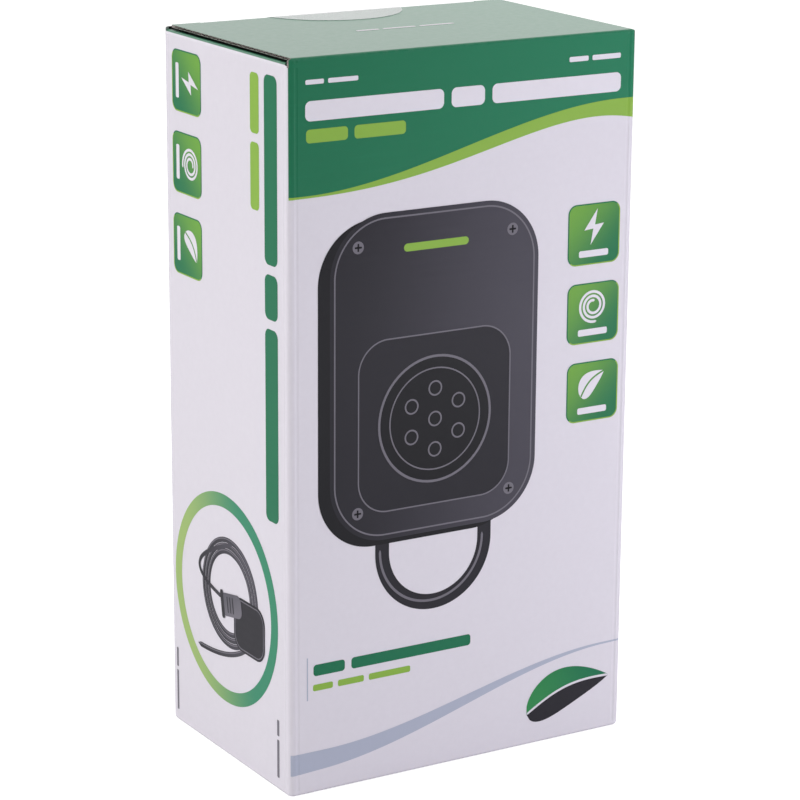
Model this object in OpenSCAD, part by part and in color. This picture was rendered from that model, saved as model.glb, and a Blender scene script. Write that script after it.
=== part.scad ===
// Closed retail carton folded from one sheet of corrugated board, sealed with a
// clear round film. The lid tucks in behind the rear wall and has slit-lock
// shoulders, the bottom is an auto-lock one, and a glue seam runs up one rear
// corner. Flutes run level round the walls and left to right in the lid.
// Millimetres. The origin is the middle of the base and the front faces -Y.

/* [Carton] */
// Outside width, left to right
carton_w = 140; // [120:1:200]
// Outside depth, front to rear
carton_d = 90; // [80:5:90]
// Outside height
carton_h = 260; // [180:1:320]
// Outer radius of the rolled folds between the walls
fold_r = 2.4; // [2:0.1:2.4]
// Outer radius of the folds at the top and the bottom of the walls
end_fold_r = 1.5; // [1.2:0.1:1.9]

/* [Board] */
// Thickness of the corrugated board
board_t = 1; // [0.9:0.1:1.6]
// Thickness of each flat liner
liner_t = 0.2; // [0.15:0.05:0.25]
// Thickness of the wavy medium between the liners
medium_t = 0.15; // [0.1:0.05:0.2]
// Distance from one flute to the next
flute_pitch = 3.3; // [3:0.1:3.6]
// How deep the open flutes of a cut edge go
flute_depth = 2.4; // [1:0.2:4]

/* [Creases] */
// Distance of the crease channel from the edge of the carton
crease_in = 3.3; // [3.2:0.1:5]
// Width of the crease channel
crease_w = 1.4; // [1:0.1:1.6]
// Depth of the crease channel
crease_depth = 0.12; // [0.06:0.02:0.2]

/* [Lid] */
// Outer radius of the fold between front wall and lid
lid_fold_r = 1; // [0.8:0.1:1.6]
// How far the cut side edges of the lid stand back from the side walls
lid_inset = 1.8; // [1.4:0.1:2.4]
// Radius of the front wall's upper corners, seen from the front
lid_corner_r = 2.4; // [1.8:0.1:3]
// Gap between the lid and the dust flaps at the sides
lid_gap = 0.7; // [0.5:0.1:1]
// How far that gap reaches inwards
gap_reach = 9; // [5:0.5:14]
// Outer radius of the fold between lid and tuck flap
tuck_fold_r = 3.2; // [2.6:0.1:3.4]
// Width of each flat shoulder beside the tuck flap
shoulder_w = 11; // [8:0.5:16]
// How far the shoulders end in front of the rear face
shoulder_setback = 3.2; // [2.4:0.1:3.6]
// Radius of the open relief where lid, front wall and dust flap meet
relief_r = 1; // [0.7:0.1:1.2]

/* [Bottom] */
// How far each glued side flap reaches under the bottom
side_flap_l = 46; // [40:1:50]
// Depth of the cut-out in the inner edge of a side flap
side_flap_notch = 12; // [6:1:16]
// How far the hooked front and rear flaps overlap past the middle
hook_overlap = 8; // [5:1:12]

/* [Seal] */
// Diameter of the round film
seal_d = 56; // [40:1:60]
// Thickness of the film
seal_t = 0.15; // [0.1:0.05:0.3]
// Sideways offset of the film from the middle of the lid
seal_x = -2.5; // [-6:0.5:6]
// Distance of the film's centre below the rear wall's top edge
seal_drop = 3.5; // [0:0.5:6]

/* [Hidden] */
$fn = 64;

half_w = carton_w / 2;
half_d = carton_d / 2;
lid_under = carton_h - board_t;        // underside of the lid, top of the rear wall
flap_top = lid_under - lid_gap;        // outer face of the dust flaps
fold_axis_top = flap_top - end_fold_r; // height of the dust flap folds' axes
lid_half_w = half_w - lid_inset;
front_t = max(board_t, lid_fold_r);    // depth of the lid's front fold
seam_gap = 0.2;                        // slit beside the glue seam
seam_setback = 0.3;                    // the side wall's cut edge stands in front of the rear face
seam_x = half_w - board_t - seam_gap;  // right-hand end of the rear wall
tuck_axis_y = half_d - board_t - seam_gap - tuck_fold_r;
eps = 0.1;                             // overshoot of a cutting solid

corner_l = [-half_w + fold_r, half_w - fold_r];
corner_d = [-half_d + fold_r, half_d - fold_r];

// Radius of a round channel of a given width and depth
function channel_r(width, depth) = (width * width / 4 + depth * depth) / (2 * depth);

// One round channel along the height; at is on the face, out is the face's normal
module crease_channel(at, out) {
    r = channel_r(crease_w, crease_depth);
    translate(at + out * (r - crease_depth)) circle(r = r);
}

// Level section of the four walls, with the glue seam at the right-hand rear corner
module wall_section() {
    difference() {
        union() {
            translate([-half_w, corner_d[0]])
                square([carton_w, carton_d - 2 * fold_r]);
            translate([corner_l[0], -half_d])
                square([carton_w - 2 * fold_r, half_d]);
            translate([corner_l[0], 0])
                square([seam_x - fold_r - corner_l[0], half_d]);
            for (at = [[corner_l[0], corner_d[0]], [corner_l[1], corner_d[0]],
                       [corner_l[0], corner_d[1]], [seam_x - fold_r, corner_d[1]]])
                translate(at) circle(r = fold_r);
            // cut edge of the right-hand wall
            translate([half_w - board_t, 0])
                square([board_t, half_d - seam_setback]);
        }
        for (x = [-half_w + crease_in, half_w - crease_in])
            crease_channel([x, -half_d], [0, -1]);
        for (x = [-half_w + crease_in, seam_x - crease_in])
            crease_channel([x, half_d], [0, 1]);
        for (y = [-half_d + crease_in, half_d - crease_in])
            crease_channel([-half_w, y], [-1, 0]);
        crease_channel([half_w, -half_d + crease_in], [1, 0]);
    }
}

// Corner where two rolled folds meet: the top or bottom fold turned about the
// axis of the fold between the walls
module rolled_corner() {
    rotate_extrude() {
        translate([0, -end_fold_r]) square([fold_r - end_fold_r, 2 * end_fold_r]);
        intersection() {
            translate([fold_r - end_fold_r, 0]) circle(r = end_fold_r);
            translate([0, -end_fold_r]) square([fold_r, 2 * end_fold_r]);
        }
    }
}

// Rolled folds round a rectangle at one height, each corner with its start turned
// inwards. along_x says whether the front and rear edges roll too
module rolled_edges(z, along_x) {
    for (y = corner_d) {
        translate([corner_l[0], y, z]) rolled_corner();
        translate([y > 0 ? seam_x - fold_r : corner_l[1], y, z]) rotate(180) rolled_corner();
    }
    if (along_x)
        for (side = [-1, 1])
            translate([corner_l[0], side * (half_d - end_fold_r), z]) rotate([0, 90, 0])
                cylinder(r = end_fold_r, h = (side > 0 ? seam_x - fold_r : corner_l[1]) - corner_l[0]);
    translate([-half_w + end_fold_r, corner_d[0], z]) rotate([-90, 0, 0])
        cylinder(r = end_fold_r, h = corner_d[1] - corner_d[0]);
    translate([half_w - end_fold_r, corner_d[0], z]) rotate([-90, 0, 0])
        cylinder(r = end_fold_r, h = half_d - seam_setback - corner_d[0]);
}

// What the rolled folds enclose, from z over their radius. along_x as above
module fold_filling(z, along_x) {
    translate([-half_w + end_fold_r, corner_d[0], z])
        cube([carton_w - 2 * end_fold_r, corner_d[1] - corner_d[0], end_fold_r]);
    set_in = along_x ? end_fold_r : 0;
    translate([corner_l[0], -half_d + set_in, z])
        cube([seam_x - fold_r - corner_l[0], carton_d - 2 * set_in, end_fold_r]);
}

// Four walls from the rolled bottom folds up to the dust flap folds
module walls() {
    translate([0, 0, end_fold_r])
        linear_extrude(fold_axis_top - end_fold_r) wall_section();
    rolled_edges(end_fold_r, true);
    fold_filling(0, true);
    rolled_edges(fold_axis_top, false);
    fold_filling(fold_axis_top, false);
    // what lies between the lid and the dust flaps, inside their gap
    translate([-half_w + gap_reach, -half_d + board_t / 2, flap_top])
        cube([carton_w - 2 * gap_reach, tuck_axis_y + half_d - board_t / 2, board_t]);
}

// Wall seen face on, with round upper corners
module panel_outline(right, top, r) {
    left = -half_w;
    translate([left, 0]) square([right - left, top - r]);
    translate([left + r, 0]) square([right - left - 2 * r, top]);
    for (x = [left + r, right - r]) translate([x, top - r]) circle(r = r);
}

// Upright board with its outer top edge rolled to the lid's fold, seen from the side
module fold_profile(height) {
    square([front_t + eps, height - lid_fold_r]);
    translate([lid_fold_r, 0]) square([front_t + eps - lid_fold_r, height]);
    intersection() {
        translate([lid_fold_r, height - lid_fold_r]) circle(r = lid_fold_r);
        square([lid_fold_r, height]);
    }
}

// Front wall above the dust flap folds, turned over into the lid along its top
module front_top() {
    intersection() {
        translate([0, 0, fold_axis_top - eps])
            linear_extrude(carton_h - fold_axis_top + eps) wall_section();
        translate([0, -half_d + front_t, 0]) rotate([90, 0, 0])
            linear_extrude(front_t + eps) panel_outline(half_w, carton_h, lid_corner_r);
        translate([-half_w - eps, -half_d, fold_axis_top - 2 * eps]) rotate([90, 0, 90])
            linear_extrude(carton_w + 2 * eps) fold_profile(carton_h - fold_axis_top + 2 * eps);
    }
}

// Rear wall above the dust flap folds, up to its cut top edge
module rear_top() {
    intersection() {
        translate([0, 0, fold_axis_top - eps])
            linear_extrude(lid_under - fold_axis_top + eps) wall_section();
        translate([0, half_d, 0]) rotate([90, 0, 0])
            linear_extrude(board_t) panel_outline(seam_x, lid_under, end_fold_r);
    }
}

// Lid behind its front fold, with its rolled tuck fold and the flat shoulders beside it
module lid() {
    tuck_half_w = lid_half_w - shoulder_w;
    translate([-lid_half_w, -half_d + front_t, lid_under])
        cube([2 * lid_half_w, tuck_axis_y + half_d - front_t, board_t]);
    translate([-tuck_half_w, tuck_axis_y, carton_h - tuck_fold_r])
        rotate([0, 90, 0]) cylinder(r = tuck_fold_r, h = 2 * tuck_half_w);
    for (x = [-lid_half_w, tuck_half_w])
        translate([x, tuck_axis_y - eps, lid_under])
            cube([shoulder_w, half_d - shoulder_setback - tuck_axis_y + eps, board_t]);
}

// Centre line of the medium, from one liner to the other
function medium_height(s) =
    (board_t - 2 * liner_t) * (1 + sin(360 * s / flute_pitch)) / 2;

// Pockets of one cut edge: length by thickness of the board, with the wave of
// the medium left standing between them
module open_flutes(length) {
    pitches = floor(length / flute_pitch);
    steps = 8;
    wave = [for (i = [0 : pitches * steps]) i * flute_pitch / steps];
    linear_extrude(flute_depth + eps) difference() {
        square([pitches * flute_pitch, board_t - 2 * liner_t]);
        polygon(concat(
            [for (s = wave) [s, medium_height(s) + medium_t / 2]],
            [for (i = [len(wave) - 1 : -1 : 0]) [wave[i], medium_height(wave[i]) - medium_t / 2]]));
    }
}

// Open flutes of the lid's two cut side edges
module lid_flutes() {
    from_y = -half_d + lid_fold_r + 0.6;
    for (x = [-lid_half_w - eps, lid_half_w - flute_depth])
        translate([x, from_y, lid_under + liner_t])
            rotate([90, 0, 90]) open_flutes(half_d - shoulder_setback - 0.6 - from_y);
}

// Open flutes of the cut edge beside the glue seam
module seam_flutes() {
    translate([half_w - board_t + liner_t, half_d - seam_setback - flute_depth, 2 * fold_r])
        rotate([0, -90, -90]) open_flutes(fold_axis_top - 3 * fold_r);
}

// Round open relief where the cuts beside lid, front wall and dust flap meet
module corner_reliefs() {
    set_in = 1.3;   // from the side wall's face
    bite = 0.2;     // into the front board
    for (x = [-half_w + set_in, half_w - set_in])
        translate([x, -half_d + board_t - bite + relief_r, fold_axis_top])
            cylinder(r = relief_r, h = lid_under - fold_axis_top);
}

// Hollows that leave the bottom flaps standing in relief: two glued side flaps
// lie lowest, the hooked front and rear flaps one board higher
module bottom_relief() {
    window = half_w - side_flap_l;   // half the width between the side flaps
    slope = 5.5;                     // the hooked flaps rise over this distance
    edge = end_fold_r + 0.5;
    // between the side flaps
    translate([-window, 0, 0]) rotate([90, 0, 90]) linear_extrude(2 * window)
        polygon([[-half_d + edge, -eps], [-half_d + edge, 0], [-half_d + edge + slope, board_t],
                 [half_d - edge - slope, board_t], [half_d - edge, 0], [half_d - edge, -eps]]);
    // cut-out in the inner edge of each side flap
    for (side = [-1, 1]) scale([side, 1, 1])
        translate([window - eps, 0, -eps]) linear_extrude(board_t + eps)
            polygon([[0, -half_d / 2], [side_flap_notch, -half_d / 5],
                     [side_flap_notch, half_d / 5], [0, half_d / 2]]);
    // each hooked flap dips under the other on its own half
    for (side = [-1, 1]) scale([side, 1, 1]) mirror([0, side > 0 ? 1 : 0, 0])
        translate([0, 0, board_t - eps]) rotate([90, 0, 90]) linear_extrude(window)
            polygon([[hook_overlap, 0], [hook_overlap, board_t], [half_d - edge - slope, eps],
                     [half_d - edge - slope, 0]]);
    // slit between each glued tip and the front or rear fold
    for (side = [-1, 1], end = [-1, 1]) scale([side, end, 1])
        translate([window - eps, half_d - edge - 1, -eps])
            cube([side_flap_l - fold_r - 3, 1, board_t + eps]);
    // slanting creases of the side flaps
    for (side = [-1, 1], end = [-1, 1]) scale([side, end, 1])
        translate([half_w - fold_r, half_d - fold_r - 3, 0]) rotate([0, 0, -135])
            rotate([-90, 0, -90]) translate([0, channel_r(1.6, 0.3) - 0.3, 0])
                cylinder(r = channel_r(1.6, 0.3), h = (side_flap_l - side_flap_notch) * 1.1);
}

// The whole folded sheet
module carton() {
    color("#dedae4") difference() {
        union() {
            walls();
            front_top();
            rear_top();
            lid();
        }
        lid_flutes();
        seam_flutes();
        corner_reliefs();
        bottom_relief();
    }
}

// Lines that the film follows over the rear edge, seen from the side: flat on
// the lid, bridging the tuck fold, then down the rear wall
seal_bend = tangent_meet();
seal_low = lid_under - seal_drop - seal_d / 2;
seal_mid_y = seal_bend[0] + norm([half_d, lid_under] - seal_bend) + seal_drop;

// Where the lid's plane meets the tangent from the rear wall's edge to the tuck fold
function tangent_meet() =
    let (to = [half_d - tuck_axis_y, lid_under - (carton_h - tuck_fold_r)],
         angle = atan2(to[1], to[0]) + acos(tuck_fold_r / norm(to)),
         touch = [cos(angle), sin(angle)] * tuck_fold_r,
         run = touch - to)
    [tuck_axis_y + touch[0] + run[0] * (tuck_fold_r - touch[1]) / run[1], carton_h];

// Point beyond a bend, off both lines by one film thickness
function miter(bend, turn_from, turn_to) =
    let (half = (turn_to - turn_from) / 2, mid = (turn_from + turn_to) / 2)
    bend + [cos(mid), sin(mid)] * seal_t / cos(half);

// Clear round film, folded over the rear edge
module closure_seal() {
    bridge_out = 90 - atan2(carton_h - lid_under, half_d - seal_bend[0]);
    edge = [half_d, lid_under];
    front_y = half_d - seal_d;
    color("#dfe6e8", 0.4) intersection() {
        translate([seal_x - seal_d / 2, 0, 0]) rotate([90, 0, 90]) linear_extrude(seal_d)
            polygon([[front_y, carton_h], seal_bend, edge, [half_d, seal_low - 1],
                     [half_d + seal_t, seal_low - 1], miter(edge, bridge_out, 0),
                     miter(seal_bend, 90, bridge_out), [front_y, carton_h + seal_t]]);
        union() {
            translate([seal_x, seal_mid_y, lid_under]) cylinder(r = seal_d / 2, h = 2 * board_t);
            translate([seal_x, 0, lid_under - seal_drop]) intersection() {
                rotate([-90, 0, 0]) cylinder(r = seal_d / 2, h = carton_d);
                translate([-seal_d, 0, -seal_d]) cube([2 * seal_d, carton_d, seal_d + seal_drop]);
            }
        }
    }
}

carton();
closure_seal();
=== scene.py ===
import math

import bpy
import numpy as np
from mathutils import Matrix, Vector


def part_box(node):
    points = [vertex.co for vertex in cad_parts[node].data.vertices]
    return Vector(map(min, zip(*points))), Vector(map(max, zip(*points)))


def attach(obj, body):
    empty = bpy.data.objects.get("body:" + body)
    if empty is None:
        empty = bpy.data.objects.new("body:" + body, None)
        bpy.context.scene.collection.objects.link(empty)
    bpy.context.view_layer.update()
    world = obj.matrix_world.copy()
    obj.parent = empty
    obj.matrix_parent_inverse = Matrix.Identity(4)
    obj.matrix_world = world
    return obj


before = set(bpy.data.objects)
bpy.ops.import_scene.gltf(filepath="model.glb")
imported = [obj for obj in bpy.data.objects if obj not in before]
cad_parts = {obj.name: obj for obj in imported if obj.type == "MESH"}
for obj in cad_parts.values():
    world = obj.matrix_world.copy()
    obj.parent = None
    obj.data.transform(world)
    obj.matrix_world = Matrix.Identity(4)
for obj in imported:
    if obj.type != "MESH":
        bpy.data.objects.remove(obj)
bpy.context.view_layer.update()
mm = 0.001
low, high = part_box("carton")
halfWidth = (high[0] - low[0]) / 2
halfDepth = (high[1] - low[1]) / 2
cartonHeight = high[2]

# The folded sheet, as it is built
sheet = {
    "thickness": 1.0 * mm,
    "foldRadius": 2.4 * mm,  # between the walls
    "endFoldRadius": 1.5 * mm,  # at the top and the bottom of the walls
    "creaseIn": 3.3 * mm,  # middle of the crease channel, from the carton's edge
    "creaseWidth": 1.4 * mm,
    "creaseDepth": 0.12 * mm,
    "lidInset": 1.8 * mm,
    "lidGap": 0.7 * mm,
    "shoulderWidth": 11 * mm,
    "shoulderSetback": 3.2 * mm,
    "fluteReach": 2.6 * mm,
    "seamSetback": 0.3 * mm,
    "flutePitch": 3.3 * mm,
    "reliefRadius": 1.0 * mm,
    "reliefIn": 1.3 * mm,  # the relief's axis, from the side wall
    "reliefBite": 0.2 * mm,  # how far the relief cuts into the front board
    "reliefShadeDepth": 0.15 * mm,  # how far down its wall the painted shade reaches
}
lidUnder = cartonHeight - sheet["thickness"]
flapTop = lidUnder - sheet["lidGap"]
lidHalfWidth = halfWidth - sheet["lidInset"]
flapFoldAxis = flapTop - sheet["endFoldRadius"]

# Colours as they are seen, in 0 to 255 steps
inks = {
    "paper": (232, 227, 236),
    "paperShade": (214, 208, 218),
    "deepGreen": (20, 116, 80),
    # paler green: painted sheen towards the right, and the green's mottle and streaks
    "sheenAndMottleGreen": (26, 128, 90),
    "freshGreen": (48, 140, 78),
    "ringLime": (163, 191, 112),
    "ringGreen": (52, 142, 108),
    "lime": (142, 184, 70),
    "tileLime": (115, 172, 64),
    "tileGreen": (27, 119, 76),
    "greyBlue": (179, 184, 203),
    "charcoal": (74, 71, 82),
    "darkCharcoal": (40, 38, 46),
    "deepCharcoal": (24, 23, 29),
    "edgeGrey": (118, 114, 124),
    "plugShade": (92, 90, 100),
    "rawBoard": (172, 163, 160),
    "rawShade": (98, 91, 89),
    # painted shade: the near black of the gap under the lid and of its reliefs
    "gapPaintedShade": (20, 22, 22),
    "innerBoard": (104, 94, 88),
}


def addObject(name, content):
    made = bpy.data.objects.new(name, content)
    bpy.context.scene.collection.objects.link(made)
    return made


def tint(name):  # a colour of the list above as Blender's linear values
    seen = np.array(inks[name]) / 255
    linear = np.where(seen <= 0.04045, seen / 12.92, ((seen + 0.055) / 1.055) ** 2.4)
    return (*linear.tolist(), 1.0)


# Distances by which a mask stays off a face or reaches past it
hair = 0.02 * mm
near = 0.05 * mm
inside = 0.06 * mm
past = 0.1 * mm


# Node building

def put(tree, kind, inputs=None, **settings):
    made = tree.nodes.new("ShaderNode" + kind)
    for name, value in settings.items():
        setattr(made, name, value)
    for name, value in (inputs or {}).items():
        if isinstance(value, bpy.types.NodeSocket):
            tree.links.new(value, made.inputs[name])
        else:
            made.inputs[name].default_value = value
    return made


def maths(tree, operation, *terms):
    return put(tree, "Math", dict(enumerate(terms)), operation=operation).outputs[0]


def parts(tree, vector):  # its X, Y and Z
    return put(tree, "SeparateXYZ", {0: vector}).outputs


def above(tree, value, edge, blur=near):  # 0 below the edge, 1 above it
    ends = {"Value": value, "From Min": edge - blur, "From Max": edge + blur}
    return put(tree, "MapRange", ends).outputs[0]


def below(tree, value, edge, blur=near):
    return maths(tree, "SUBTRACT", 1.0, above(tree, value, edge, blur))


def both(tree, *masks):
    total = masks[0]
    for mask in masks[1:]:
        total = maths(tree, "MULTIPLY", total, mask)
    return total


def either(tree, *masks):
    total = masks[0]
    for mask in masks[1:]:
        total = maths(tree, "MAXIMUM", total, mask)
    return total


def mixed(tree, share, first, second):
    return put(tree, "Mix", {0: share, 6: first, 7: second}, data_type="RGBA").outputs[2]


def noise(tree, position, scale, detail=2.0, roughness=0.5):
    values = {"Vector": position, "Scale": scale, "Detail": detail, "Roughness": roughness}
    return put(tree, "TexNoise", values).outputs["Fac"]


def spread(tree, value, least, most):  # stretches least..most to 0..1
    return put(tree, "MapRange", {"Value": value, "From Min": least, "From Max": most}).outputs[0]


# An empty node group with named sockets, each given as its name and its kind
def newGroup(name, inputs, outputs):
    group = bpy.data.node_groups.new(name, "ShaderNodeTree")
    for side, sockets in (("INPUT", inputs), ("OUTPUT", outputs)):
        for label, kind in sockets:
            group.interface.new_socket(label, in_out=side, socket_type="NodeSocket" + kind)
    return group, group.nodes.new("NodeGroupInput").outputs, group.nodes.new("NodeGroupOutput").inputs


# A node group in a material; in a value's name, _ stands for a space of its socket's
def place(tree, group, **values):
    made = tree.nodes.new("ShaderNodeGroup")
    made.node_tree = group
    for name, value in values.items():
        socket = made.inputs[name.replace("_", " ")]
        if isinstance(value, bpy.types.NodeSocket):
            tree.links.new(value, socket)
        else:
            socket.default_value = value
    return made.outputs


# Scales of the noises, in waves to the metre. A range is the part of one that is stretched
# to 0..1
grains = {
    "drift": 22.0,  # bends the ridges
    "ridges": 35.0,  # lets them show here and there
    "wave": 16.0,
    "paper": 2600.0,
    "mottle": 420.0,
    "streak": (45.0, 620.0, 620.0),  # long in X
    "streakRange": (0.5, 0.75),
    "fleck": 520.0,
    "fleckRange": (0.35, 0.75),
    "fibre": 3500.0,
    "fibreRange": (0.3, 0.7),
    "bubble": 180.0,
}
lidTurn = 0.7  # least upright part of the normal of a level face
turnBlur = 0.05  # softness of a mask that reads the normal


# Height of the laminated face: the flutes show through as low level ridges, with a slow
# unevenness of the liner and a fine paper grain. Ridges cross Z on a wall and Y on the lid
# and the bottom, and fade out by the folds. Streaks are short pale lines along X
def buildFluteRelief():
    group, given, out = newGroup(
        "fluteRelief",
        [("Position", "Vector"), ("Normal", "Vector"), ("Fade", "Float"), ("Ridge pitch", "Float"),
         ("Ridge height", "Float"), ("Wave height", "Float"), ("Grain height", "Float")],
        [("Height", "Float"), ("Mottle", "Float"), ("Streak", "Float")])
    position = given["Position"]
    where = parts(group, position)
    facing = parts(group, given["Normal"])
    flat = above(group, maths(group, "ABSOLUTE", facing[2]), lidTurn, turnBlur)
    across = maths(group, "ADD", maths(group, "MULTIPLY", where[1], flat),
                   maths(group, "MULTIPLY", where[2], maths(group, "SUBTRACT", 1.0, flat)))
    turns = maths(group, "ADD", maths(group, "DIVIDE", across, given["Ridge pitch"]),
                  noise(group, position, grains["drift"], detail=1.0))
    ridge = maths(group, "MULTIPLY_ADD",
                  maths(group, "SINE", maths(group, "MULTIPLY", turns, 2 * math.pi)), 0.5, 0.5)
    strength = maths(group, "MULTIPLY", ridge, noise(group, position, grains["ridges"]))
    strength = maths(group, "MULTIPLY", strength, given["Fade"])
    wave = noise(group, position, grains["wave"], detail=1.5)
    height = maths(group, "ADD",
                   maths(group, "MULTIPLY", strength, given["Ridge height"]),
                   maths(group, "MULTIPLY", wave, given["Wave height"]))
    paper = noise(group, position, grains["paper"])
    height = maths(group, "MULTIPLY_ADD", paper, given["Grain height"], height)
    drawn = put(group, "VectorMath", {0: position, 1: grains["streak"]}, operation="MULTIPLY")
    streak = noise(group, drawn.outputs[0], 1.0, roughness=0.55)
    mottle = noise(group, position, grains["mottle"], detail=3.0, roughness=0.6)
    group.links.new(height, out["Height"])
    group.links.new(mottle, out["Mottle"])
    group.links.new(spread(group, streak, *grains["streakRange"]), out["Streak"])
    return group


rubbedWhole = 0.2 * mm  # from an edge, where the rubbing is at its full strength
calm = (2 * mm, 9 * mm)  # from an edge, where the flutes start to show and show fully


# Wear along the carton's edges. Of the distances to the three outer planes, the middle one
# is the distance to the nearest edge; close to it the print is rubbed pale. Calm is 0 at
# an edge and 1 out on the flat
def buildFoldWear():
    group, given, out = newGroup(
        "foldWear",
        [("Position", "Vector"), ("Reach", "Float"), ("Amount", "Float")],
        [("Calm", "Float"), ("Closeness", "Float"), ("Flecks", "Float")])
    where = parts(group, given["Position"])
    fromX = maths(group, "SUBTRACT", halfWidth, maths(group, "ABSOLUTE", where[0]))
    fromY = maths(group, "SUBTRACT", halfDepth, maths(group, "ABSOLUTE", where[1]))
    fromZ = maths(group, "MINIMUM", where[2], maths(group, "SUBTRACT", cartonHeight, where[2]))
    least = maths(group, "MINIMUM", fromX, fromY)
    most = maths(group, "MAXIMUM", fromX, fromY)
    middle = maths(group, "MAXIMUM", least, maths(group, "MINIMUM", most, fromZ))
    close = spread(group, middle, given["Reach"], rubbedWhole)
    fleck = noise(group, given["Position"], grains["fleck"], detail=3.0, roughness=0.65)
    shown = maths(group, "MULTIPLY", spread(group, fleck, *grains["fleckRange"]), close)
    group.links.new(spread(group, middle, *calm), out["Calm"])
    group.links.new(close, out["Closeness"])
    group.links.new(maths(group, "MULTIPLY", shown, given["Amount"]), out["Flecks"])
    return group


fluteRelief = buildFluteRelief()
foldWear = buildFoldWear()
print("shared node groups built")


# Two stripes cross the front wall and wrap its folds, in millimetres. The upper edge eases
# from its left height to its right one within the span, and the thickness is a curve of the
# fourth degree through five values at even steps from end to end
stripes = {
    "lime": {"span": (-64, 64), "upper": (213.6, 236.1), "thickness": (0.9, 2.1, 4.1, 4.5, 7.2)},
    "grey": {"span": (-56, 62), "upper": (15.7, 34.2), "thickness": (7.8, 5.9, 3.8, 1.8, 0.6)},
}

# The green header ends on the front wall along the lime stripe, wraps the folds a little, and
# comes back as a thin strip on the dust flap folds
header = {
    "overlap": 0.3 * mm,  # how far it reaches down under the stripe
    "wrap": math.radians(44),  # how far print turns round a fold
    "wrapBlur": 0.02,
    "flapStrip": 0.6 * mm,
    "blur": 0.08 * mm,
}

# The laminated face and the print under its film
finish = {
    "ridgeHeight": 0.02 * mm,
    "waveHeight": 0.06 * mm,
    "grainHeight": 0.002 * mm,
    "wearReach": 1.3 * mm,
    "wear": 0.05,
    "roughness": 0.34,
    "roughnessSpread": 0.1,  # over the mottle
    "rubbedRoughness": 0.06,  # added at an edge
    "rawRoughness": 0.9,
    "specular": 0.3,
    "index": 1.5,
    "coat": 0.6,
    "coatRoughness": 0.22,
    "paperMottle": 0.3,
    "greenMottle": 0.25,
    "greenStreaks": 0.22,
    "greenSheen": (-0.8, 0.9),  # painted sheen: from deep green to the paler green, lighter to the right, in half widths
    "inkMottle": 0.4,
    "inkLighter": 1.12,
}


def startMaterial(name):
    made = bpy.data.materials.new(name)
    made.use_nodes = True
    made.node_tree.nodes.clear()
    return made, made.node_tree


def closeMaterial(tree, surface):
    tree.links.new(surface, put(tree, "OutputMaterial").inputs["Surface"])


# Both shared groups in a material, with its values: coordinates, wear and relief
def placeSurface(tree):
    where = put(tree, "TexCoord").outputs
    position = where["Object"]
    wear = place(tree, foldWear, Position=position, Reach=finish["wearReach"], Amount=finish["wear"])
    relief = place(tree, fluteRelief, Position=position, Normal=where["Normal"], Fade=wear["Calm"],
                   Ridge_pitch=sheet["flutePitch"], Ridge_height=finish["ridgeHeight"],
                   Wave_height=finish["waveHeight"], Grain_height=finish["grainHeight"])
    return where, wear, relief


def mottledRoughness(tree, relief):
    least = finish["roughness"] - finish["roughnessSpread"] / 2
    return maths(tree, "MULTIPLY_ADD", relief["Mottle"], finish["roughnessSpread"], least)


# Shared end of every printed finish: a satin film over the paper
def laminated(tree, colour, roughness, bumpHeight, coat):
    bump = put(tree, "Bump", {"Strength": 1.0, "Distance": 1.0, "Height": bumpHeight})
    shader = put(tree, "BsdfPrincipled", {
        "Base Color": colour, "Roughness": roughness, "Normal": bump.outputs[0],
        "IOR": finish["index"], "Specular IOR Level": finish["specular"],
        "Coat Weight": coat, "Coat Roughness": finish["coatRoughness"], "Coat IOR": finish["index"]})
    tree.links.new(bump.outputs[0], shader.inputs["Coat Normal"])
    closeMaterial(tree, shader.outputs[0])


# Which way a face looks, by the parts of its normal from -1 to 1
facings = {
    "straight": 0.9,
    "endOut": 0.62,  # an end of a panel looks at least this much to the left or the right
    "endBlur": 0.04,
    "roundOut": 0.15,  # and its rounded part at least this much,
    "roundAlong": 0.4,  # and no more than this much to the front or the rear
    "seamBack": -0.5,  # the glue seam's cut looks no more than this much to the front
    "seamBlur": 0.1,
}


# Raw board where a surface is a cut edge of the sheet
def cutEdges(tree, x, y, z, nx, ny, nz):
    board, reach = sheet["thickness"], sheet["fluteReach"]
    sideways = maths(tree, "ABSOLUTE", x)
    turnedOut, turnedAlong = maths(tree, "ABSOLUTE", nx), maths(tree, "ABSOLUTE", ny)
    turnedUp = above(tree, nz, facings["straight"], turnBlur)
    turnedBack = above(tree, ny, facings["straight"], turnBlur)
    inLid = both(tree, above(tree, z, lidUnder + inside), below(tree, z, cartonHeight - inside),
                 above(tree, y, -halfDepth + board - hair))
    lidSide = both(tree, inLid, above(tree, sideways, lidHalfWidth - reach))
    shoulderRear = both(tree, above(tree, z, lidUnder - near), turnedBack,
                        above(tree, sideways, lidHalfWidth - sheet["shoulderWidth"]),
                        below(tree, y, halfDepth - sheet["shoulderSetback"] + past))
    rearTop = both(tree, turnedUp, above(tree, y, halfDepth - board - past),
                   above(tree, z, lidUnder - 0.4 * board), below(tree, z, cartonHeight - 0.5 * board))
    rounded = both(tree, above(tree, turnedOut, facings["roundOut"], turnBlur),
                   below(tree, turnedAlong, facings["roundAlong"], turnBlur))
    straight = above(tree, turnedOut, facings["endOut"], facings["endBlur"])
    panelEnds = both(tree, either(tree, rounded, straight),
                     above(tree, maths(tree, "ABSOLUTE", y), halfDepth - board - near),
                     above(tree, z, flapFoldAxis + past))
    seam = both(tree, above(tree, x, halfWidth - board - near), below(tree, x, halfWidth - near),
                above(tree, y, halfDepth - sheet["seamSetback"] - reach),
                above(tree, ny, facings["seamBack"], facings["seamBlur"]), below(tree, z, flapFoldAxis))
    return either(tree, lidSide, shoulderRear, rearTop, panelEnds, seam)
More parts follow.
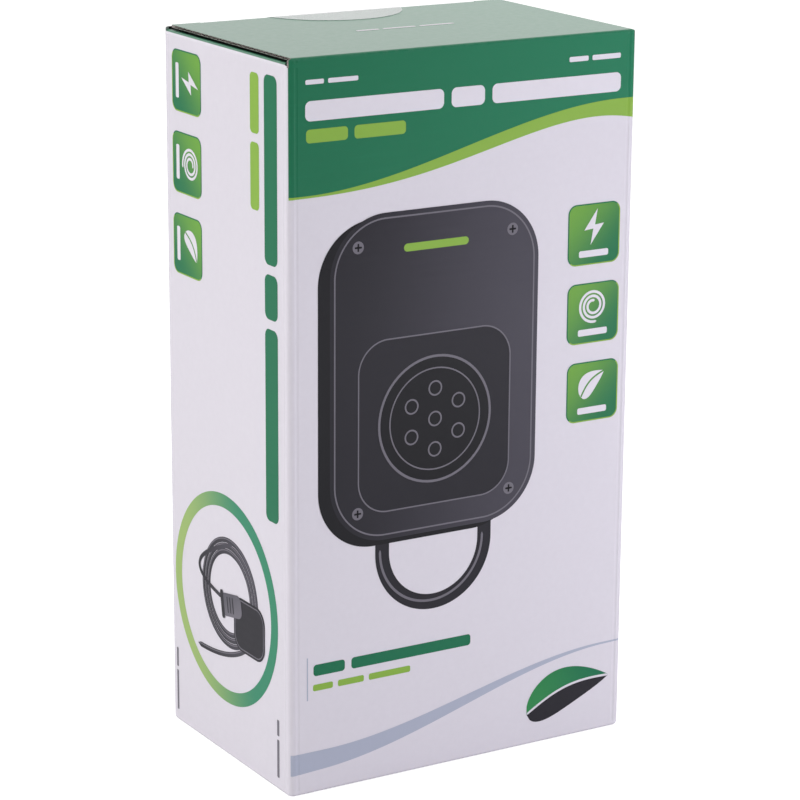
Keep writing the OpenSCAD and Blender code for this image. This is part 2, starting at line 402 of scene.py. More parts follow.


# The gap between the lid and the dust flaps, and the reliefs at its front ends, lie in the dark: painted
# shade, coloured near black
def paintedShadePlaces(tree, x, y, z):
    radius = sheet["reliefRadius"]
    frontInside = -halfDepth + sheet["thickness"]
    sideways = maths(tree, "ABSOLUTE", x)
    underLid = below(tree, z, lidUnder + hair)
    gap = both(tree, underLid, above(tree, z, flapTop - near),
               below(tree, sideways, lidHalfWidth + past), above(tree, y, frontInside - hair))
    fromAxisX = maths(tree, "SUBTRACT", sideways, halfWidth - sheet["reliefIn"])
    fromAxisY = maths(tree, "SUBTRACT", y, frontInside - sheet["reliefBite"] + radius)
    away = maths(tree, "POWER", maths(tree, "MULTIPLY_ADD", fromAxisX, fromAxisX,
                                      maths(tree, "MULTIPLY", fromAxisY, fromAxisY)), 0.5)
    relief = both(tree, below(tree, away, radius + inside, inside / 2),
                  above(tree, z, flapTop - sheet["reliefShadeDepth"]), underLid)
    return either(tree, gap, relief)


# The green fields: the header, the strip on the flap folds, and the lid
def greenFields(tree, x, y, z, ny):
    stripe = stripes["lime"]
    fromX, toX = (end * mm for end in stripe["span"])
    fromZ, toZ = (height * mm - header["overlap"] for height in stripe["upper"])
    edge = put(tree, "MapRange", {"Value": x, "From Min": fromX, "From Max": toX,
                                  "To Min": fromZ, "To Max": toZ}, interpolation_type="SMOOTHSTEP")
    overEdge = above(tree, maths(tree, "SUBTRACT", z, edge.outputs[0]), 0.0, header["blur"])
    turnedFront = below(tree, ny, -math.cos(header["wrap"]), header["wrapBlur"])
    onFront = both(tree, turnedFront, below(tree, y, 0.0))
    onFlaps = both(tree, above(tree, z, flapTop - header["flapStrip"], header["blur"]),
                   below(tree, y, halfDepth - sheet["thickness"]))
    return either(tree, both(tree, onFront, overEdge), onFlaps, above(tree, z, lidUnder + hair))


# White board with green fields, raw at its cuts and with painted shade in its gaps
def printedBoardMaterial():
    made, tree = startMaterial("printedBoard")
    where, wear, relief = placeSurface(tree)
    x, y, z = parts(tree, where["Object"])
    nx, ny, nz = parts(tree, where["Normal"])
    cut = cutEdges(tree, x, y, z, nx, ny, nz)
    dark = paintedShadePlaces(tree, x, y, z)
    lidInside = both(tree, below(tree, nz, -facings["straight"], turnBlur), above(tree, z, flapTop))

    # paper and ink with a faint mottle and streaks, paler where the print is rubbed; the green is made
    # lighter to the right as painted sheen
    paperMottle = maths(tree, "MULTIPLY", relief["Mottle"], finish["paperMottle"])
    paper = mixed(tree, paperMottle, tint("paper"), tint("paperShade"))
    sheenRightwards = spread(tree, x, *(share * halfWidth for share in finish["greenSheen"]))
    ink = mixed(tree, sheenRightwards, tint("deepGreen"), tint("sheenAndMottleGreen"))
    streaks = maths(tree, "MULTIPLY", relief["Streak"], finish["greenStreaks"])
    ink = mixed(tree, streaks, ink, tint("sheenAndMottleGreen"))
    mottle = maths(tree, "MULTIPLY", relief["Mottle"], finish["greenMottle"])
    ink = mixed(tree, mottle, ink, tint("sheenAndMottleGreen"))
    ink = mixed(tree, wear["Flecks"], ink, tint("paper"))
    colour = mixed(tree, greenFields(tree, x, y, z, ny), paper, ink)
    fibre = noise(tree, where["Object"], grains["fibre"], detail=3.0, roughness=0.7)
    fibre = spread(tree, fibre, *grains["fibreRange"])
    colour = mixed(tree, cut, colour, mixed(tree, fibre, tint("rawShade"), tint("rawBoard")))
    colour = mixed(tree, lidInside, colour, tint("innerBoard"))
    # painted shade in the gap under the lid and in its reliefs
    colour = mixed(tree, dark, colour, tint("gapPaintedShade"))

    bare = either(tree, cut, dark)
    rough = mottledRoughness(tree, relief)
    rough = maths(tree, "MULTIPLY_ADD", wear["Closeness"], finish["rubbedRoughness"], rough)
    rough = maths(tree, "MAXIMUM", rough, maths(tree, "MULTIPLY", bare, finish["rawRoughness"]))
    coat = maths(tree, "MULTIPLY", maths(tree, "SUBTRACT", 1.0, bare), finish["coat"])
    laminated(tree, colour, rough, relief["Height"], coat)
    return made


# Ink on the same laminated face. With a second colour it turns from one to the other across
# the piece's own UV map: to the right, and downwards by the share that lean gives, and it is
# the second one from full on
def inkMaterial(name, first, second=None, lean=0.0, full=1.0):
    made, tree = startMaterial(name)
    where, wear, relief = placeSurface(tree)
    colour = tint(first)
    if second:
        u, v = parts(tree, where["UV"])[:2]
        down = maths(tree, "MULTIPLY", maths(tree, "SUBTRACT", 1.0, v), lean)
        along = maths(tree, "MULTIPLY_ADD", u, 1.0 - lean, down)
        eased = put(tree, "MapRange", {"Value": along, "From Max": full}, interpolation_type="SMOOTHSTEP")
        colour = mixed(tree, eased.outputs[0], tint(first), tint(second))
    lighter = put(tree, "HueSaturation", {"Value": finish["inkLighter"], "Color": colour}).outputs[0]
    colour = mixed(tree, maths(tree, "MULTIPLY", relief["Mottle"], finish["inkMottle"]), colour, lighter)
    colour = mixed(tree, wear["Flecks"], colour, tint("paper"))
    laminated(tree, colour, mottledRoughness(tree, relief), relief["Height"], finish["coat"])
    return made


film = {
    "clear": 0.2,  # how much it hides, seen straight on
    "veiledAndReflecting": 0.66,  # and seen along its face; what it hides beyond the straight-on haze is painted reflection
    "facing": (0.15, 0.88),  # from straight on to along the face
    "colour": (0.91, 0.93, 0.96, 1),
    "roughness": 0.14,
    "coatRoughness": 0.1,
    "bubbleHeight": 0.02 * mm,
    "bubbleVeil": 0.06,
}


# It hides the board more, the flatter it is seen: the white it shows along its face is painted reflection
def clearFilmMaterial():
    made, tree = startMaterial("clearFilm")
    where = put(tree, "TexCoord").outputs
    bubble = noise(tree, where["Object"], grains["bubble"], detail=3.0, roughness=0.6)
    height = maths(tree, "MULTIPLY", bubble, film["bubbleHeight"])
    bump = put(tree, "Bump", {"Strength": 1.0, "Distance": 1.0, "Height": height})
    facing = put(tree, "LayerWeight", {"Blend": 0.5}).outputs["Facing"]
    straightOn, alongFace = film["facing"]
    hidden = put(tree, "MapRange", {"Value": facing, "From Min": straightOn, "From Max": alongFace,
                                    "To Min": film["clear"], "To Max": film["veiledAndReflecting"]}).outputs[0]
    veilAndReflection = maths(tree, "MULTIPLY_ADD", bubble, film["bubbleVeil"], hidden)
    shader = put(tree, "BsdfPrincipled", {
        "Base Color": film["colour"], "Roughness": film["roughness"], "Alpha": veilAndReflection,
        "IOR": finish["index"], "Normal": bump.outputs[0],
        "Coat Weight": 1.0, "Coat Roughness": film["coatRoughness"]})
    closeMaterial(tree, shader.outputs[0])
    return made


def dress(part, material):
    part.data.materials.clear()
    part.data.materials.append(material)


dress(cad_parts["carton"], printedBoardMaterial())
dress(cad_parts["closure_seal"], clearFilmMaterial())
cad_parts["closure_seal"].visible_shadow = False  # clear film lets the light through
print("carton and closing film dressed")


# The walls that carry print. Each runs across and up from its own middle line, and half is
# the way from there to its folds. No print comes near the lid's
walls = {
    "front": {"middle": (0, -halfDepth, 0), "across": (1, 0, 0), "up": (0, 0, 1),
              "out": (0, -1, 0), "half": halfWidth},
    "left": {"middle": (-halfWidth, 0, 0), "across": (0, -1, 0), "up": (0, 0, 1),
             "out": (-1, 0, 0), "half": halfDepth},
    "lid": {"middle": (0, 0, cartonHeight), "across": (1, 0, 0), "up": (0, 1, 0),
            "out": (0, 0, 1), "half": 1.0},
}


# Places flat coordinates on a wall's outer face. Up to the folds the wall is flat, less the
# round crease channel near each; past them, distance becomes angle on the fold's quarter
# circle. Lift is measured along the surface's normal
def layOnWall(wall, across, up, lift):
    radius = sheet["foldRadius"]
    flat = wall["half"] - radius
    side = np.sign(across)
    angle = np.maximum(np.abs(across) - flat, 0) / radius
    channel = (sheet["creaseWidth"] ** 2 / 4 + sheet["creaseDepth"] ** 2) / (2 * sheet["creaseDepth"])
    fromChannel = np.abs(across) - (wall["half"] - sheet["creaseIn"])
    dip = np.sqrt(np.maximum(channel ** 2 - fromChannel ** 2, 0)) - (channel - sheet["creaseDepth"])
    sunk = radius * (1 - np.cos(angle)) + np.maximum(dip, 0) - lift * np.cos(angle)
    run = side * (np.minimum(np.abs(across), flat) + (radius + lift) * np.sin(angle))
    keys = ("middle", "across", "up", "out")
    middle, acrossAxis, upAxis, out = (np.array(wall[key], float) for key in keys)
    return middle + run[..., None] * acrossAxis + up[..., None] * upAxis - sunk[..., None] * out


# Outlines and patches, in millimetres on a wall

# Outline of a box with round corners: one turn of a circle, each quarter moved out to its
# corner
def roundedBox(centre, width, height, radius, steps=96):
    turn = (np.arange(steps) + 0.5) * 2 * np.pi / steps
    spreadOut = np.array([width / 2 - radius, height / 2 - radius])
    circle = np.stack([np.cos(turn), np.sin(turn)], axis=1)
    return np.array(centre) + np.sign(circle) * spreadOut + circle * radius


def disc(centre, diameter, steps=64):  # a box that is all corners
    return roundedBox(centre, diameter, diameter, diameter / 2, steps)


# Part of a circle as a path: angles in degrees, counted from the right, radius from one end's
# value to the other's
def arcPath(centre, radii, angles, steps):
    angle = np.radians(np.linspace(*angles, steps))
    radius = np.linspace(*radii, steps)
    return np.array(centre) + np.stack([np.cos(angle), np.sin(angle)], axis=1) * radius[:, None]


# A curve from the first point to the last one, drawn towards the middle one: the three mixed
# as (1 - s)^2, 2 s (1 - s) and s^2 for a share s
def bentPath(first, middle, last, steps=24):
    share = np.linspace(0, 1, steps)[:, None]
    ends = np.array(first) * (1 - share) ** 2 + np.array(last) * share ** 2
    return ends + 2 * share * (1 - share) * np.array(middle)


# A patch is points, faces, and each point's place in the patch's own box as its UV
def patch(points, faces):
    least, most = points.min(axis=0), points.max(axis=0)
    return {"points": points, "faces": faces, "uv": (points - least) / (most - least)}


# The same patches turned about one point
def turnedPatches(patches, centre, degrees):
    angle = math.radians(degrees)
    spin = np.array([[math.cos(angle), math.sin(angle)], [-math.sin(angle), math.cos(angle)]])
    return [{**flat, "points": (flat["points"] - np.array(centre)) @ spin + np.array(centre)}
            for flat in patches]


# Quads from one line of points to a second one with as many; closed joins their ends too
def strip(first, second, closed=False):
    count = len(first)
    here = np.arange(count if closed else count - 1)
    beside = (here + 1) % count
    faces = np.stack([here, beside, beside + count, here + count], axis=1)
    return patch(np.vstack([first, second]), faces)


# A fan from the outline's mean to its points
def filled(outline):
    around = np.arange(len(outline))
    faces = np.stack([np.zeros_like(around), around + 1, (around + 1) % len(outline) + 1], axis=1)
    return patch(np.vstack([outline.mean(axis=0), outline]), faces)


# A surface of two parameters: along the wall, and from the lower to the upper line
def band(across, lower, upper):
    return strip(*(np.stack([across, line], axis=1) for line in (lower, upper)))


# A line of even width along a path, its ends closed as half circles: near an end the half
# width follows a circle's height
def stroke(path, width):
    steps = np.diff(path, axis=0)
    along = np.concatenate([[0], np.cumsum(np.hypot(*steps.T))])
    half = width / 2
    fromEnd = np.clip(np.minimum(along, along[-1] - along) / half, 0, 1)
    reach = half * np.sqrt(np.maximum(1 - (1 - fromEnd) ** 2, 1e-4))  # never quite nothing
    heading = np.gradient(path, axis=0)
    heading /= np.hypot(*heading.T)[:, None]
    aside = np.stack([-heading[:, 1], heading[:, 0]], axis=1) * reach[:, None]
    return strip(path - aside, path + aside)


def ring(centre, diameter, width, steps=72):  # between two circles
    return strip(disc(centre, diameter, steps), disc(centre, diameter - 2 * width, steps), closed=True)


# A line of even width along a box with round corners, from inset to inset plus width inside it
def boxLine(centre, size, radius, inset, width, steps=96):
    outer, inner = (roundedBox(centre, size[0] - 2 * d, size[1] - 2 * d, radius - d, steps)
                    for d in (inset, inset + width))
    return strip(outer, inner, closed=True)


# One piece of print: all its patches in one mesh, lifted off the board as far as its layer is
def layInk(name, wallName, patches, material, lift):
    flat = np.vstack([p["points"] for p in patches]) * mm
    starts = np.cumsum([0] + [len(p["points"]) for p in patches])
    faces = [face for p, start in zip(patches, starts) for face in (p["faces"] + start).tolist()]
    uv = np.vstack([p["uv"] for p in patches])
    points = layOnWall(walls[wallName], flat[:, 0], flat[:, 1], lift * mm)
    mesh = bpy.data.meshes.new(name)
    mesh.from_pydata(points.tolist(), [], faces)
    corners = np.empty(len(mesh.loops), np.int32)
    mesh.loops.foreach_get("vertex_index", corners)
    mesh.uv_layers.new(name="printUv").uv.foreach_set("vector", uv[corners].astype(np.float32).ravel())
    mesh.polygons.foreach_set("use_smooth", np.ones(len(mesh.polygons), bool))
    mesh.materials.append(material)
    mesh.update()
    piece = addObject(name, mesh)
    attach(piece, "root")


whiteInk = inkMaterial("whiteInk", "paper")
greenInk = inkMaterial("greenInk", "deepGreen")
limeInk = inkMaterial("limeInk", "lime")
tileInk = inkMaterial("tileInk", "tileLime", "tileGreen", lean=0.5, full=0.88)
leafInk = inkMaterial("leafInk", "freshGreen", "deepGreen")
ringInk = inkMaterial("ringInk", "ringLime", "ringGreen", lean=-0.2, full=0.8)
greyInk = inkMaterial("greyInk", "greyBlue")
charcoalInk = inkMaterial("charcoalInk", "darkCharcoal", "charcoal")
darkInk = inkMaterial("darkInk", "darkCharcoal")
deepInk = inkMaterial("deepInk", "deepCharcoal")
edgeInk = inkMaterial("edgeInk", "edgeGrey")
plugInk = inkMaterial("plugInk", "plugShade", "edgeGrey", lean=0.7)

# Lift of each layer in millimetres, so that no two pieces of print share a plane
firstLayer, secondLayer, thirdLayer = 0.04, 0.08, 0.12
fourthLayer, fifthLayer, sixthLayer = 0.16, 0.2, 0.24


def stripePieces():
    folds = (walls["front"]["half"] - sheet["foldRadius"]) / mm
    reach = folds + sheet["foldRadius"] / mm * header["wrap"]
    flat = folds - 4  # outside this, the columns are close enough to follow crease and fold
    across = np.concatenate([np.linspace(-reach, -flat, 40), np.linspace(-flat, flat, 60)[1:-1],
                             np.linspace(flat, reach, 40)])
    steps = np.linspace(-reach, reach, 5)
    for name, ink in (("lime", limeInk), ("grey", greyInk)):
        stripe = stripes[name]
        start, end = stripe["span"]
        share = np.clip((across - start) / (end - start), 0, 1)
        least, most = stripe["upper"]
        upper = least + (most - least) * share ** 2 * (3 - 2 * share)
        lower = upper - np.polyval(np.polyfit(steps, stripe["thickness"], 4), across)
        layInk(name + "_stripe", "front", [band(across, lower, upper)], ink, firstLayer)


# Rows of round-ended bars, in millimetres. A row runs to the right from its start, or down
# from it where it is turned, with one bar for each length
bars = {
    "title_bars": {"wall": "front", "ink": whiteInk, "rows": [
        {"start": (-63.3, 242.0), "lengths": (53.8, 13.4, 53.4), "height": 6.8, "gap": 3.0}]},
    "subtitle_bars": {"wall": "front", "ink": limeInk, "rows": [
        {"start": (-63, 233.6), "lengths": (16, 20), "height": 4.6, "gap": 2.5}]},
    "small_white_bars": {"wall": "front", "ink": whiteInk, "rows": [
        {"start": (-63.2, 251.7), "lengths": (7, 11.5), "height": 1.6, "gap": 1.6},
        {"start": (41.4, 251.3), "lengths": (8, 12), "height": 1.8, "gap": 1.6}]},
    "note_bars": {"wall": "front", "ink": greenInk, "rows": [
        {"start": (-60.5, 45.7), "lengths": (12.6, 49.2), "height": 4.2, "gap": 2.6}]},
    "small_note_bars": {"wall": "front", "ink": limeInk, "rows": [
        {"start": (-60.7, 39.3), "lengths": (8, 10.5, 17), "height": 2.4, "gap": 2.0}]},
    "note_rule": {"wall": "front", "ink": greyInk, "turn": -90, "rows": [
        {"start": (-62.9, 50.8), "lengths": (15.8,), "height": 0.45, "gap": 0}]},
    "lid_bars": {"wall": "lid", "ink": whiteInk, "rows": [
        {"start": (-19, -2.4), "lengths": (9, 13, 14), "height": 2.0, "gap": 1.8}]},
    "side_title_bars": {"wall": "left", "ink": greenInk, "turn": -90, "rows": [
        {"start": (33.4, 253.0), "lengths": (64.5, 15.6, 68.2), "height": 9.0, "gap": 3.3}]},
    "side_subtitle_bars": {"wall": "left", "ink": limeInk, "turn": -90, "rows": [
        {"start": (22.2, 252.4), "lengths": (20.6, 23.2), "height": 6.2, "gap": 3.0}]},
    "side_small_bars": {"wall": "left", "ink": edgeInk, "turn": -90, "rows": [
        {"start": (-40.4, 29.2), "lengths": (7.4, 15.6), "height": 1.4, "gap": 1.4},
        {"start": (36.8, 26.6), "lengths": (6, 14.2), "height": 1.6, "gap": 1.4}]},
}
barRound = 0.3  # corner radius as a share of a bar's height


def barPatches(row, turn):
    left, middle = row["start"]
    height = row["height"]
    made = []
    for length in row["lengths"]:
        outline = roundedBox((left + length / 2, middle), length, height, height * barRound, steps=24)
        made.append(filled(outline))
        left += length + row["gap"]
    return turnedPatches(made, row["start"], turn)


stripePieces()
for name, group in bars.items():
    patches = [bar for row in group["rows"] for bar in barPatches(row, group.get("turn", 0))]
    layInk(name, group["wall"], patches, group["ink"], firstLayer)
print("bars and stripes printed")


# Pictograms, in millimetres about their own centre, drawn in shares of their size. Each is a
# list of patches that don't lie over one another
coilShares = {"radii": (0.16, 0.52), "start": 70, "turns": 2.6, "width": 0.085}
leafShares = {"length": 1.15, "width": 0.62, "tilt": 42, "vein": 0.06}


# The second half of a bolt is the first one turned half round
def boltPatches(centre, size):
    half = np.array([(0.12, 0.56), (-0.36, -0.09), (-0.03, -0.06)])
    return [filled(np.vstack([half, -half]) * size + np.array(centre))]


# A coil is a flat spiral: the radius grows by the same step with every turn
def coilPatches(centre, size):
    start = coilShares["start"]
    least, most = coilShares["radii"]
    angles = (start, start + 360 * coilShares["turns"])
    spiral = arcPath(centre, (size * least, size * most), angles, steps=150)
    return [stroke(spiral, size * coilShares["width"])]


# Two halves of a leaf about a bent middle line. Half width rises as a root and falls off
# in proportion, so the stalk end is round and the tip sharp
def leafPatches(centre, length, width, tilt, gap):
    bend, swell, taper = 0.22, 1.3, 0.9
    share = np.linspace(0, 1, 48)
    across = centre[0] + (share - 0.5) * length
    middle = centre[1] + bend * width * np.sin(np.pi * share)
    half = width * swell * np.sqrt(share) * (1 - share) ** taper
    vein = np.minimum(gap / 2, half)
    halves = [band(across, middle + vein, middle + half), band(across, middle - half, middle - vein)]
    return turnedPatches(halves, centre, tilt)


def leafPictogram(centre, size):
    length, width, vein = (size * leafShares[key] for key in ("length", "width", "vein"))
    return leafPatches(centre, length, width, leafShares["tilt"], vein)


# Tiles in a column: a gradient face, a dark rim above and to the left, a pale one below and
# to the right, a white pictogram and a short white bar
tiles = {
    "size": 22.1,
    "radius": 3.5,
    "rim": 0.45,
    "pictogram": 11.5,
    "rise": 2.6,  # of the pictogram over the tile's middle
    "bar": (12.5, 2.4, 0.7),  # width, height and corner radius
    "barDrop": 7.0,
    "front": {"across": (53.4, 53.7, 54.2), "heights": (188.6, 159.9, 131.0),
              "turn": 0, "scale": 1.0},
    "left": {"across": (-27.5, -27.7, -27.9), "heights": (241.7, 212.7, 183.3),
             "turn": -90, "scale": 0.99},
}


# A rim as two half turns: the first runs over the top left, the second under the bottom right
def rimHalves(outer, inner):
    count = len(outer)
    first = (np.arange(count // 2 + 1) + count // 8) % count
    second = (first + count // 2) % count
    return [strip(outer[part], inner[part]) for part in (first, second)]


def tilePieces(wallName):
    column = tiles[wallName]
    scale, turn = column["scale"], column["turn"]
    size, radius = tiles["size"] * scale, tiles["radius"] * scale
    face = size - 2 * tiles["rim"]
    barWide, barHigh, barRadius = tiles["bar"]
    faces, darkRims, paleRims, drawings = [], [], [], []
    drawn = (boltPatches, coilPatches, leafPictogram)
    for across, height, draw in zip(column["across"], column["heights"], drawn):
        centre = np.array([across, height])
        outline = roundedBox(centre, size, size, radius)
        inner = roundedBox(centre, face, face, radius - tiles["rim"])
        mark = draw(centre + (0, tiles["rise"] * scale), tiles["pictogram"] * scale)
        barCentre = centre - (0, tiles["barDrop"] * scale)
        bar = roundedBox(barCentre, barWide * scale, barHigh * scale, barRadius, steps=24)
        mark.append(filled(bar))
        darkHalf, paleHalf = turnedPatches(rimHalves(outline, inner), centre, turn)
        faces += turnedPatches([filled(outline)], centre, turn)
        darkRims.append(darkHalf)
        paleRims.append(paleHalf)
        drawings += turnedPatches(mark, centre, turn)
    layInk(wallName + "_tiles", wallName, faces, tileInk, firstLayer)
    layInk(wallName + "_tile_dark_rims", wallName, darkRims, greenInk, secondLayer)
    layInk(wallName + "_tile_pale_rims", wallName, paleRims, limeInk, secondLayer)
    layInk(wallName + "_pictograms", wallName, drawings, whiteInk, secondLayer)


tilePieces("front")
tilePieces("left")

# Two-tone leaf at the lower right of the front
leaf = {"centre": (46.5, 16.5), "length": 37, "width": 15.5, "tilt": 14, "gap": 0.9}
upperHalf, lowerHalf = leafPatches(**leaf)
layInk("leaf_upper_half", "front", [upperHalf], leafInk, firstLayer)
layInk("leaf_lower_half", "front", [lowerHalf], darkInk, firstLayer)
print("tiles and leaf printed")


# Wall charging box pictured on the front, in millimetres: shaded side, body, rim line,
# recess with a round socket, status bar, screws and a loop of cable
charger = {
    "centre": (-12, 147),
    "size": (84, 116),
    "radius": 22,
    "side": (-4.6, -1.6),  # how far the shaded side shows to the left and below
    "rim": (1.6, 0.55),  # distance inside the body's edge, and width
    "recess": (62, 62, 12),  # width, height and corner radius
    "recessDrop": 17,
    "recessLine": 0.5,
    "socket": 46,
    "socketLine": 0.9,
    "face": 37,  # ring inside the socket
    "faceLine": 0.5,
    "pin": 5.6,
    "pinLine": 0.6,
    "pins": 6,  # round the middle one
    "pinCircle": 22,
    "pinTurn": 30,
    "bar": (26, 2.8),
    "barRise": 45,
    "screwInset": 11,
    "screw": 4.4,
    "slot": (2.8, 0.7, 0.25),  # length, width and corner radius
    "cable": 5.6,
    "cableAcross": (-33, 9),
    "cableLow": 63,
    "cableTucked": 8,  # how far its ends run up behind the body
    "light": 0.9,  # width of the light along the cable
    "lightAside": (-0.9, 0.5),
    "lightBelow": 3,  # where it starts under the body
}


# Down from the left end, a half circle, and up to the right end
def chargerCablePath(bodyLow):
    left, right = charger["cableAcross"]
    bend = (right - left) / 2
    low = charger["cableLow"] + bend
    heights = np.linspace(bodyLow + charger["cableTucked"], low, 12, endpoint=False)
    down = np.stack([np.full_like(heights, left), heights], axis=1)
    half = arcPath(((left + right) / 2, low), (bend, bend), (180, 360), steps=60)
    up = np.stack([np.full_like(heights, right), heights[::-1]], axis=1)
    return np.vstack([down, half, up])


def chargerPieces():
    centre = np.array(charger["centre"], float)
    width, height = charger["size"]
    radius = charger["radius"]
    bodyLow = centre[1] - height / 2
    path = chargerCablePath(bodyLow)
    layInk("charger_cable", "front", [stroke(path, charger["cable"])], darkInk, firstLayer)
    shown = path[path[:, 1] < bodyLow - charger["lightBelow"]] + charger["lightAside"]
    layInk("charger_cable_light", "front", [stroke(shown, charger["light"])], edgeInk, secondLayer)

    body = roundedBox(centre, width, height, radius)
    layInk("charger_side", "front", [filled(body + charger["side"])], deepInk, secondLayer)
    layInk("charger_body", "front", [filled(body)], charcoalInk, thirdLayer)
    layInk("charger_rim", "front", [boxLine(centre, charger["size"], radius, *charger["rim"])],
           edgeInk, fourthLayer)

    *recess, recessRadius = charger["recess"]
    seat = centre - (0, charger["recessDrop"])
    recessFace = filled(roundedBox(seat, *recess, recessRadius))
    recessLine = boxLine(seat, recess, recessRadius, 0, charger["recessLine"])
    layInk("charger_recess", "front", [recessFace], darkInk, fourthLayer)
    layInk("charger_recess_edge", "front", [recessLine], edgeInk, fifthLayer)
    layInk("charger_socket", "front", [filled(disc(seat, charger["socket"]))], deepInk, fifthLayer)
    turn = np.radians(np.arange(charger["pins"]) * 360 / charger["pins"] + charger["pinTurn"])
    around = seat + charger["pinCircle"] / 2 * np.stack([np.cos(turn), np.sin(turn)], axis=1)
    rings = [ring(seat, charger["socket"], charger["socketLine"])]
    rings.append(ring(seat, charger["face"], charger["faceLine"]))
    rings += [ring(pin, charger["pin"], charger["pinLine"], steps=32) for pin in (seat, *around)]
    layInk("charger_socket_lines", "front", rings, edgeInk, sixthLayer)

    barWide, barHigh = charger["bar"]
    bar = roundedBox(centre + (0, charger["barRise"]), barWide, barHigh, barHigh / 2, steps=32)
    layInk("charger_status_bar", "front", [filled(bar)], limeInk, fourthLayer)
    corner = np.array([width / 2, height / 2]) - charger["screwInset"]
    spots = [centre + corner * sign for sign in ((-1, 1), (1, 1), (-1, -1), (1, -1))]
    screws = [filled(disc(spot, charger["screw"], steps=32)) for spot in spots]
    layInk("charger_screws", "front", screws, edgeInk, fourthLayer)
    long, narrow, slotRadius = charger["slot"]
    slots = [filled(roundedBox(spot, *size, slotRadius, steps=16))
             for spot in spots for size in ((long, narrow), (narrow, long))]
    layInk("charger_screw_slots", "front", slots, deepInk, fifthLayer)


chargerPieces()
print("wall charger picture printed")


# Ring on the left wall round a coil of cable on a holder, with a plug in it, in millimetres
plugPicture = {
    "centre": (-2, 59.5),
    "ring": 78,
    "ringWidth": 5.0,
    "coilCentre": (1, 62),
    "coilRadii": (21, 14.7),
    "coilAngles": (-60, 1020),  # three turns, which nearly touch
    "cable": 1.95,
    "light": 0.4,  # width of the light along the cable
    "lightAside": (-0.3, 0.4),
    "tail": ((-23.4, 36.4), (-1, 36.5), (11.5, 43.8)),
    "loop": ((-4, 59.5), (-43, 66), (4, 81.5)),
    "loopWidth": 1.6,
    "holder": (16, 53.5, 23, 20, 6),  # across, up, width, height, corner radius
    "holderLine": (0.8, 0.4),  # distance inside the holder's edge, and width
    "plug": (3, 58.5, 15, 8.5, 3),  # and so with the plug and its collar
    "plugTurn": 10,
    "ridge": (0.7, 5.95, 0.3),  # width, height, corner radius
    "ridgesAcross": (-3, -1, 1),  # from the plug's middle
    "collar": (-4, 58.5, 2.2, 10.5, 1),
}


def plugPieces():
    frameRing = ring(plugPicture["centre"], plugPicture["ring"], plugPicture["ringWidth"], steps=128)
    layInk("side_ring", "left", [frameRing], ringInk, firstLayer)
    radii, angles = plugPicture["coilRadii"], plugPicture["coilAngles"]
    coil = arcPath(plugPicture["coilCentre"], radii, angles, steps=240)
    whole = np.vstack([bentPath(*plugPicture["tail"])[:-1], coil])
    layInk("side_cable", "left", [stroke(whole, plugPicture["cable"])], charcoalInk, firstLayer)
    light = stroke(whole + plugPicture["lightAside"], plugPicture["light"])
    layInk("side_cable_light", "left", [light], edgeInk, secondLayer)
    loop = stroke(bentPath(*plugPicture["loop"], steps=40), plugPicture["loopWidth"])
    layInk("side_cable_loop", "left", [loop], charcoalInk, thirdLayer)

    across, up, *size, radius = plugPicture["holder"]
    holder = filled(roundedBox((across, up), *size, radius, steps=64))
    holderLine = boxLine((across, up), size, radius, *plugPicture["holderLine"], steps=64)
    layInk("side_holder", "left", [holder], darkInk, thirdLayer)
    layInk("side_holder_edge", "left", [holderLine], edgeInk, fourthLayer)
    across, up, *size, radius = plugPicture["plug"]
    middle, turn = (across, up), plugPicture["plugTurn"]
    body = turnedPatches([filled(roundedBox(middle, *size, radius, steps=48))], middle, turn)
    layInk("side_plug", "left", body, plugInk, fifthLayer)
    ridges = [filled(roundedBox((across + shift, up), *plugPicture["ridge"], steps=16))
              for shift in plugPicture["ridgesAcross"]]
    across, up, *size, radius = plugPicture["collar"]
    ridges.append(filled(roundedBox((across, up), *size, radius, steps=24)))
    layInk("side_plug_ridges", "left", turnedPatches(ridges, middle, turn), darkInk, sixthLayer)


plugPieces()
print("plug picture printed")


view = {
    "lens": 135.0,
    "azimuth": -31.1,
    "elevation": 15.44,
    "roll": 0.37,
    "distance": 1.0856,
    "nearest": 0.01,
    "aimRight": 0.84 * mm,  # from the middle of the carton, across and up the view
    "aimUp": -5.63 * mm,
}
middleOfCarton = Vector((0, 0, cartonHeight / 2))


# Direction from the carton to something at an azimuth, counted from the front to the right,
# and an elevation, in degrees
def awayFrom(azimuth, elevation):
    a, e = math.radians(azimuth), math.radians(elevation)
    return Vector((math.sin(a) * math.cos(e), -math.cos(a) * math.cos(e), math.sin(e)))


def placeCamera():
    a, r = math.radians(view["azimuth"]), math.radians(view["roll"])
    back = awayFrom(view["azimuth"], view["elevation"])
    level = Vector((math.cos(a), math.sin(a), 0))
    rise = back.cross(level)
    right = level * math.cos(r) + rise * math.sin(r)
    up = rise * math.cos(r) - level * math.sin(r)
    aim = middleOfCarton + right * view["aimRight"] + up * view["aimUp"]
    camera = addObject("camera", bpy.data.cameras.new("camera"))
    camera.data.lens = view["lens"]
    camera.data.clip_start = view["nearest"]
    camera.matrix_world = Matrix.Translation(aim + back * view["distance"]) @ Matrix(
        (right, up, back)).transposed().to_4x4()
    bpy.context.scene.camera = camera


